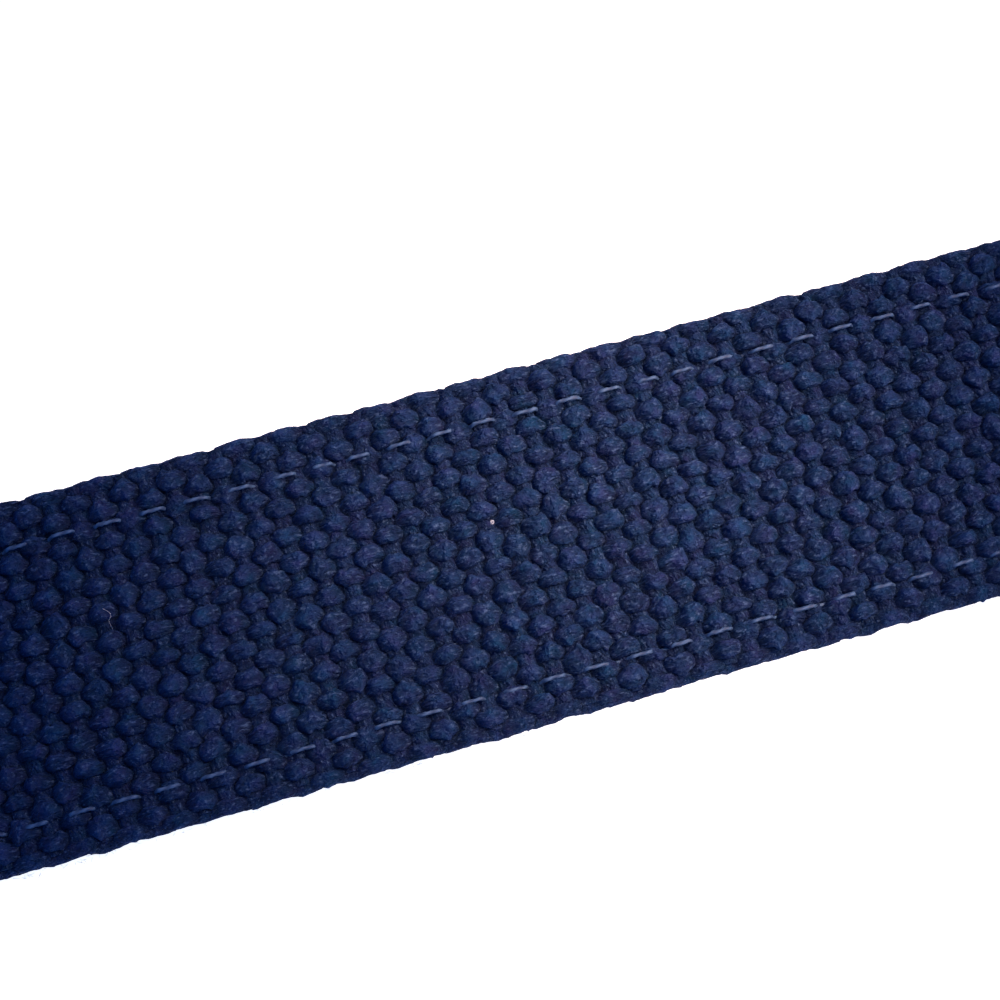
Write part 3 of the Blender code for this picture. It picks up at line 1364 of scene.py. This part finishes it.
@dataclass
class LooseFibres:
    """Short fibres that stand off the crowns and edges, and two bits of lint on the back."""

    strap: WovenStrap
    # Every fibre: its size, its shape and how its colour differs
    radius: float = 0.014 * MM
    mean_length: float = 0.65 * MM
    length_spread: float = 0.45
    curl: float = 0.9
    arch: tuple[float, float] = (1.2, 3.0)
    askew: tuple[float, float, float] = (0.123, 0.217, 0.968)
    hair_steps: int = 3
    tip: float = 0.45
    sides: int = 3
    step_mm: float = 0.2
    kinds: float = 90.0
    hue_spread: float = 0.8
    paler: tuple[float, float] = (1.2, 0.6)
    # Those on the crowns of the back, scattered in picks along and in metres across
    on_face: int = 1500
    face_rise: tuple[float, float] = (0.02, 0.3)
    face_scatter: tuple[float, float] = (0.22, 0.3 * MM)
    face_depth: float = 0.12 * MM
    # Those on the two edges
    on_edges: int = 380
    edge_rise: tuple[float, float] = (-0.2, 0.3)
    edge_across: float = 15.7 * MM
    edge_up_mm: tuple[float, float] = (-0.6, 1.0)
    edge_scatter: float = 0.8
    # The white speck, a tangle of short curls
    speck_place: tuple[float, float] = (-0.05 * MM, 2.21 * MM)
    speck_fibres: int = 26
    speck_points: int = 9
    speck_radius: float = 0.02 * MM
    speck_size_mm: tuple[float, float] = (0.05, 0.16)
    speck_scatter_mm: float = 0.02
    speck_turn: tuple[float, float] = (2.0, 5.0)
    speck_height_mm: float = 0.05
    speck_stack_mm: tuple[float, float] = (-0.04, 0.1)
    speck_climb_mm: tuple[float, float] = (-0.05, 0.08)
    # The bent wisp
    wisp_place: tuple[float, float] = (-33.83 * MM, 2.83 * MM)
    wisp_along_mm: tuple[float, ...] = (-0.26, 0.03, 0.3, 0.28, 0.02, 0.06, 0.15)
    wisp_across_mm: tuple[float, ...] = (1.06, 0.8, 0.46, 0.2, -0.1, -0.47, -0.94)
    wisp_radius: float = 0.022 * MM
    wisp_height: float = 0.03 * MM
    seed: int = 37

    def hair(self, rng: np.random.Generator, start: Array, heading: float, rise: float) -> Array:
        """Find the way of one curved fibre.

        Args:
            rng: where its chance comes from.
            start: its root on the strap.
            heading: its direction on the strap's face.
            rise: how steeply it leaves the face.

        Returns:
            Rows of (along, across, up).
        """
        length = self.mean_length * rng.lognormal(0.0, self.length_spread)
        reach = np.linspace(0, 1, self.hair_steps + 1)
        turned = heading + rng.normal(0.0, self.curl) * reach
        step = length / self.hair_steps
        along = start[0] + np.cumsum(np.cos(turned)) * step
        across = start[1] + np.cumsum(np.sin(turned)) * step
        up = start[2] + length * rise * np.sin(reach * rng.uniform(*self.arch))
        return np.stack([along, across, up], -1)

    def add_fibre(
        self, work: Piecework, line: Array, radius: float, rng: np.random.Generator
    ) -> None:
        """Draw one fibre, thinning towards its tip.

        Args:
            work: the piece that it is part of.
            line: rows of (along, across, up) that it follows.
            radius: its radius at the root.
            rng: where its colour's chance comes from.
        """
        wide, tall = frames_along(line, self.askew)
        taper = radius * np.linspace(1.0, self.tip, len(line))
        angle = around(len(line), self.sides)
        skin, faces = tube(line, wide, tall, taper, taper, angle)
        gone, which = np.arange(len(line)) * self.step_mm, rng.uniform(0, self.kinds)
        # A third dye number of 1 gives each fibre the paler painted tone of a crown's top
        dye = (rng.normal(0.0, self.hue_spread), rng.normal(*self.paler), 1.0)
        work.add_tube(self.strap.line.place(skin), faces, angle, gone, 1.0, which, dye)

    def build(self, cotton: bpy.types.Material, lint: bpy.types.Material) -> None:
        """Make the fibres and the lint.

        Args:
            cotton: the webbing's material, for its own fibres.
            lint: the material of the lint.
        """
        rng = np.random.default_rng(self.seed)
        strap = self.strap
        low, high = strap.line.close()
        top = strap.line.sizes.strap_thickness / 2
        work = Piecework("loose_fibres")
        for _ in range(self.on_face):
            end = int(rng.integers(strap.ends))
            pick = rng.integers(int(strap.pick_at(low)), int(strap.pick_at(high)))
            pick += (pick + end) % 2
            along = strap.along_at(pick + rng.normal(0.0, self.face_scatter[0]))
            across = strap.across_of(end) + rng.normal(0.0, self.face_scatter[1])
            root = top - self.face_depth - strap.pressed(along, np.array(across))
            start = np.array((along, across, root))
            heading = rng.uniform(0, math.tau)
            line = self.hair(rng, start, heading, rng.uniform(*self.face_rise))
            self.add_fibre(work, line, self.radius, rng)
        for _ in range(self.on_edges):
            side = rng.choice((-1.0, 1.0))
            along, across = rng.uniform(low, high), side * self.edge_across + strap.drift
            start = np.array((along, across, rng.uniform(*self.edge_up_mm) * MM))
            heading = side * math.pi / 2 + rng.normal(0.0, self.edge_scatter)
            line = self.hair(rng, start, heading, rng.uniform(*self.edge_rise))
            self.add_fibre(work, line, self.radius, rng)
        work.make(cotton, Slot.WEBBING)
        self.add_lint(lint, rng, top)

    def add_lint(self, lint: bpy.types.Material, rng: np.random.Generator, top: float) -> None:
        """Make the white speck and the bent wisp that lie on the back.

        Args:
            lint: what they are made of.
            rng: where their chance comes from.
            top: height of the crowns above the strap's middle line.
        """
        work = Piecework("lint")
        x, y = self.speck_place
        middle, scatter, points = self.strap.line.flat(x), self.speck_scatter_mm, self.speck_points
        for _ in range(self.speck_fibres):
            start = rng.uniform(0, math.tau)
            turn = start + np.linspace(0, rng.uniform(*self.speck_turn), points)
            size = rng.uniform(*self.speck_size_mm) * MM
            along = middle + size * np.cos(turn) + rng.normal(0, scatter) * MM
            across = y + size * np.sin(turn) + rng.normal(0, scatter) * MM
            up_mm = self.speck_height_mm + rng.uniform(*self.speck_stack_mm)
            up_mm += np.linspace(0, rng.uniform(*self.speck_climb_mm), points)
            line = np.stack([along, across, top + up_mm * MM], -1)
            self.add_fibre(work, line, self.speck_radius, rng)
        x, y = self.wisp_place
        count = len(self.wisp_along_mm)
        steps = np.linspace(0, count - 1, 4 * count)
        along, across = (
            np.interp(steps, np.arange(count), way_mm) * MM
            for way_mm in (self.wisp_along_mm, self.wisp_across_mm)
        )
        height = np.full(len(steps), top + self.wisp_height)
        line = np.stack([self.strap.line.flat(x) + along, y + across, height], -1)
        self.add_fibre(work, line, self.wisp_radius, rng)
        work.make(lint, Slot.WEBBING)


@dataclass
class WireBuckle:
    """A three-bar slide buckle: a ring of bent wire with a middle bar soldered across."""

    sizes: BeltSizes
    sides: int = 28
    corner_steps: int = 12
    side_steps: int = 10
    # The middle bar, closely drawn at its ends and with fewer rings between
    bar_end: float = 4 * MM
    bar_end_rings: int = 24
    bar_start: float = 5 * MM
    bar_rings: int = 8
    bar_number: float = 9.0
    # The solder that fills the corner where it meets a side wire
    fillet: float = 0.54 * MM
    fillet_run: float = 1.3 * MM
    fillet_round: float = 0.95
    fillet_share: float = 0.985

    @property
    def half_width(self) -> float:
        """Distance from the buckle's middle to the middle of a side wire."""
        return self.sizes.strap_width / 2 + self.sizes.side_clearance + self.sizes.wire_radius

    def placed(self, points: Array) -> Array:
        """Turn the buckle from lying flat, with its end bar at the origin, to its place.

        Args:
            points: rows of (x, y, z) on the flat buckle.

        Returns:
            Rows of (x, y, z) in the scene.
        """
        turn = self.sizes.buckle_tilt
        x, y, z = points.T
        return np.stack(
            [
                self.sizes.end_bar_x + x * math.cos(turn) + z * math.sin(turn),
                y,
                self.sizes.end_bar_z - x * math.sin(turn) + z * math.cos(turn),
            ],
            -1,
        )

    def ring_line(self) -> Array:
        """Find the middle line of the bent wire, a rectangle with round corners.

        Returns:
            Rows of (x, y, z), starting on the end bar.
        """
        corner, half = self.sizes.corner_radius, self.half_width
        near, far, side = corner, self.sizes.buckle_reach - corner, half - corner
        middles = ((far, -side), (far, side), (near, side), (near, -side))
        share = np.linspace(0, 1, self.side_steps + 2)[1:-1, None]
        points = []
        for number, (x, y) in enumerate(middles):
            turn = (number - 1) * math.pi / 2 + np.linspace(0, math.pi / 2, self.corner_steps)
            arc = np.stack([x + corner * np.cos(turn), y + corner * np.sin(turn)], -1)
            last = np.array((math.cos(turn[-1]), math.sin(turn[-1])))
            towards = np.array(middles[(number + 1) % 4]) + corner * last
            points += [arc, arc[-1] * (1 - share) + towards * share]
        flat = np.concatenate(points)
        return np.concatenate([flat, np.zeros((len(flat), 1))], 1)

    def add_wire(
        self, work: Piecework, line: Array, radius: Array, ring: bool, which: float
    ) -> None:
        """Draw a wire along a line.

        Args:
            work: the piece that it is part of.
            line: rows of (x, y, z) on the buckle lying flat.
            radius: its radius at each point.
            ring: whether it closes on itself.
            which: a number that sets its brushing apart.
        """
        if ring:
            ahead = unit(np.roll(line, -1, axis=0) - np.roll(line, 1, axis=0))
            wide = unit(np.cross(np.array((0.0, 0.0, 1.0)), ahead))
            tall = np.cross(ahead, wide)
        else:
            wide, tall = frames_along(line, (0.0, 0.0, 1.0))
        angle = around(len(line), self.sides)
        skin, faces = tube(line, wide, tall, radius, radius, angle, ring)
        gone, girth = way_along(line) / MM, self.sizes.wire_radius / MM
        work.add_tube(self.placed(skin), faces, angle, gone, girth, which)

    def build(self, nickel: bpy.types.Material) -> None:
        """Make the buckle.

        Args:
            nickel: the wire's material.
        """
        work = Piecework("buckle_wire_frame")
        ring, wire = self.ring_line(), self.sizes.wire_radius
        self.add_wire(work, ring, np.full(len(ring), wire), True, 0.0)
        reach = self.half_width
        ends = np.linspace(-reach, -reach + self.bar_end, self.bar_end_rings)
        rest = np.linspace(-reach + self.bar_start, 0, self.bar_rings)
        across = np.concatenate([ends, rest])
        across = np.concatenate([across, -across[-2::-1]])
        into = np.abs(across) - (reach - wire - self.fillet_run)
        inside = np.clip(into / self.fillet_run, 0, 1)
        flare = self.fillet * (1 - np.sqrt(1 - inside**2 * self.fillet_round))
        radius = np.minimum(self.sizes.middle_bar_radius + flare, wire * self.fillet_share)
        place = np.full_like(across, self.sizes.bar_spacing)
        line = np.stack([place, across, np.zeros_like(across)], -1)
        self.add_wire(work, line, radius, False, self.bar_number)
        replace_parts(work.make(nickel, Slot.BUCKLE), "buckle")


@dataclass(frozen=True)
class Lamp:
    """A lamp with a soft-edged beam.

    It hangs at a distance from the point that it lights, in a direction given by its turn from +X
    towards +Y and its height above the horizon.
    """

    name: str
    aim: tuple[float, float, float]
    distance: float
    turn_deg: float
    height_deg: float
    cone_deg: float
    power: float
    blend: float = 1.0
    colour: str = "#ffd2b4"
    radius: float = 0.02

    def hang(self) -> None:
        """Add the lamp to the scene."""
        data = bpy.data.lights.new(self.name, "SPOT")
        data.energy = self.power
        data.color = linear(self.colour)[:3]
        data.spot_size = math.radians(self.cone_deg)
        data.spot_blend = self.blend
        data.shadow_soft_size = self.radius
        turn, height = math.radians(self.turn_deg), math.radians(self.height_deg)
        level = math.cos(height)
        away = (level * math.cos(turn), level * math.sin(turn), math.sin(height))
        lamp = bpy.data.objects.new(self.name, data)
        lamp.location = [start + self.distance * step for start, step in zip(self.aim, away)]
        lamp.rotation_euler = (math.pi / 2 - height, 0.0, turn + math.pi / 2)
        bpy.context.scene.collection.objects.link(lamp)


@dataclass
class Studio:
    """White paper, soft lights and the camera of the photograph."""

    paper_half_size: float = 40.0
    paper_z: float = -0.2 * MM
    camera_place: tuple[float, float, float] = (-0.019728, -0.040907, 0.178230)
    camera_turn_deg: tuple[float, float, float] = (15.554, -2.422, -16.334)
    lens_mm: float = 75.6
    sensor_mm: float = 36.0
    sky_colour: str = "#6cacff"
    sky_strength: float = 0.625
    pool: tuple[float, float, float] = (0.011, 0.004, 0.0)
    hem_side: tuple[float, float, float] = (-0.34, 0.0, 0.0)
    buckle_side: tuple[float, float, float] = (0.37, 0.0, 0.0)

    def lamps(self) -> tuple[Lamp, ...]:
        """The lamps: a pool of light where the photograph was taken, and one to each side of it.

        Returns:
            Each lamp with its aim, distance, turn, height, cone, power and, at the sides, blend.
        """
        return (
            Lamp("pool_narrow_near", self.pool, 0.36, -35.0, 50.0, 9.6, 5.8),
            Lamp("pool_narrow_far", self.pool, 0.36, 48.0, 46.0, 9.6, 5.8),
            Lamp("pool_wide_above", self.pool, 0.36, 10.0, 76.0, 18.8, 3.6),
            Lamp("pool_wide_low", self.pool, 0.36, 6.0, 40.0, 18.8, 4.6),
            Lamp("hem_side_light", self.hem_side, 0.9, 70.0, 60.0, 33.0, 90.0, 0.45),
            Lamp("buckle_side_light", self.buckle_side, 0.9, 110.0, 60.0, 35.0, 90.0, 0.45),
        )

    def add_paper(self) -> None:
        """Lay the white paper that the belt lies on."""
        half, z = self.paper_half_size, self.paper_z
        mesh = bpy.data.meshes.new("paper")
        corners = [(-half, -half, z), (half, -half, z), (half, half, z), (-half, half, z)]
        mesh.from_pydata(corners, [], [(0, 1, 2, 3)])
        mesh.materials.append(WhitePaper().make())
        paper = bpy.data.objects.new("paper", mesh)
        bpy.context.scene.collection.objects.link(paper)

    def add_camera(self) -> None:
        """Set the camera up where the photograph was taken."""
        data = bpy.data.cameras.new("camera")
        data.lens = self.lens_mm
        data.sensor_width = self.sensor_mm
        data.clip_start = 0.01
        data.clip_end = 200.0
        camera = bpy.data.objects.new("camera", data)
        camera.location = self.camera_place
        camera.rotation_euler = [math.radians(turn) for turn in self.camera_turn_deg]
        bpy.context.scene.collection.objects.link(camera)
        bpy.context.scene.camera = camera

    def build(self) -> None:
        """Set the stage, its lights and the camera."""
        scene = bpy.context.scene
        scene.view_settings.view_transform = "Standard"
        world = bpy.data.worlds.new("soft_daylight")
        world.use_nodes = True
        background = world.node_tree.nodes["Background"]
        feed(background, {"Color": linear(self.sky_colour), "Strength": self.sky_strength})
        scene.world = world
        self.add_paper()
        for lamp in self.lamps():
            lamp.hang()
        self.add_camera()


def main() -> None:
    """Build the belt's pieces and the stage in order, and note the sizes."""
    logging.basicConfig(level=logging.INFO, format="%(name)s: %(message)s")
    Studio().build()
    sizes = BeltSizes()
    line = StrapLine(sizes)
    rows = (FAR_ROW, NEAR_ROW)
    cotton = CottonWebbing().make()
    strap = WovenStrap(line, rows)
    strap.build(cotton)
    Stitching(line, rows).build(SpunThread().make())
    LooseFibres(strap).build(cotton, Lint().make())
    WireBuckle(sizes).build(SatinNickel().make())
    log.info("strap is %.1f mm long when laid flat", line.length / MM)


if __name__ == "__main__":
    main()
